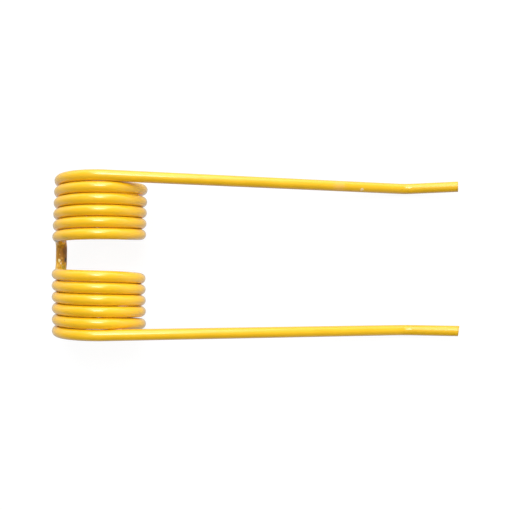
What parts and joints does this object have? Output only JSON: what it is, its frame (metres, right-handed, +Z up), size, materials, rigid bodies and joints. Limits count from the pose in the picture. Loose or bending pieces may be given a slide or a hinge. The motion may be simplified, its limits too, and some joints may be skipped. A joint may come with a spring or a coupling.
{
  "type": "double coil spring tine",
  "caption": "Baler pick-up tine bent from round spring wire: close-wound coils joined by a short bridge, with long parallel arms whose tips turn up.",
  "frame": {"origin": "on the axis of the coils, midway between them", "axes": "+Y along the axis of the coils, +X out over the arms, +Z up from the surface on which the tine lies"},
  "size_m": [0.2102, 0.0818, 0.0462],
  "materials": {
    "yellow_paint": "gloss"
  },
  "bodies": {
    "root": {"tine_wire": "yellow_paint"}
  },
  "joints": []
}
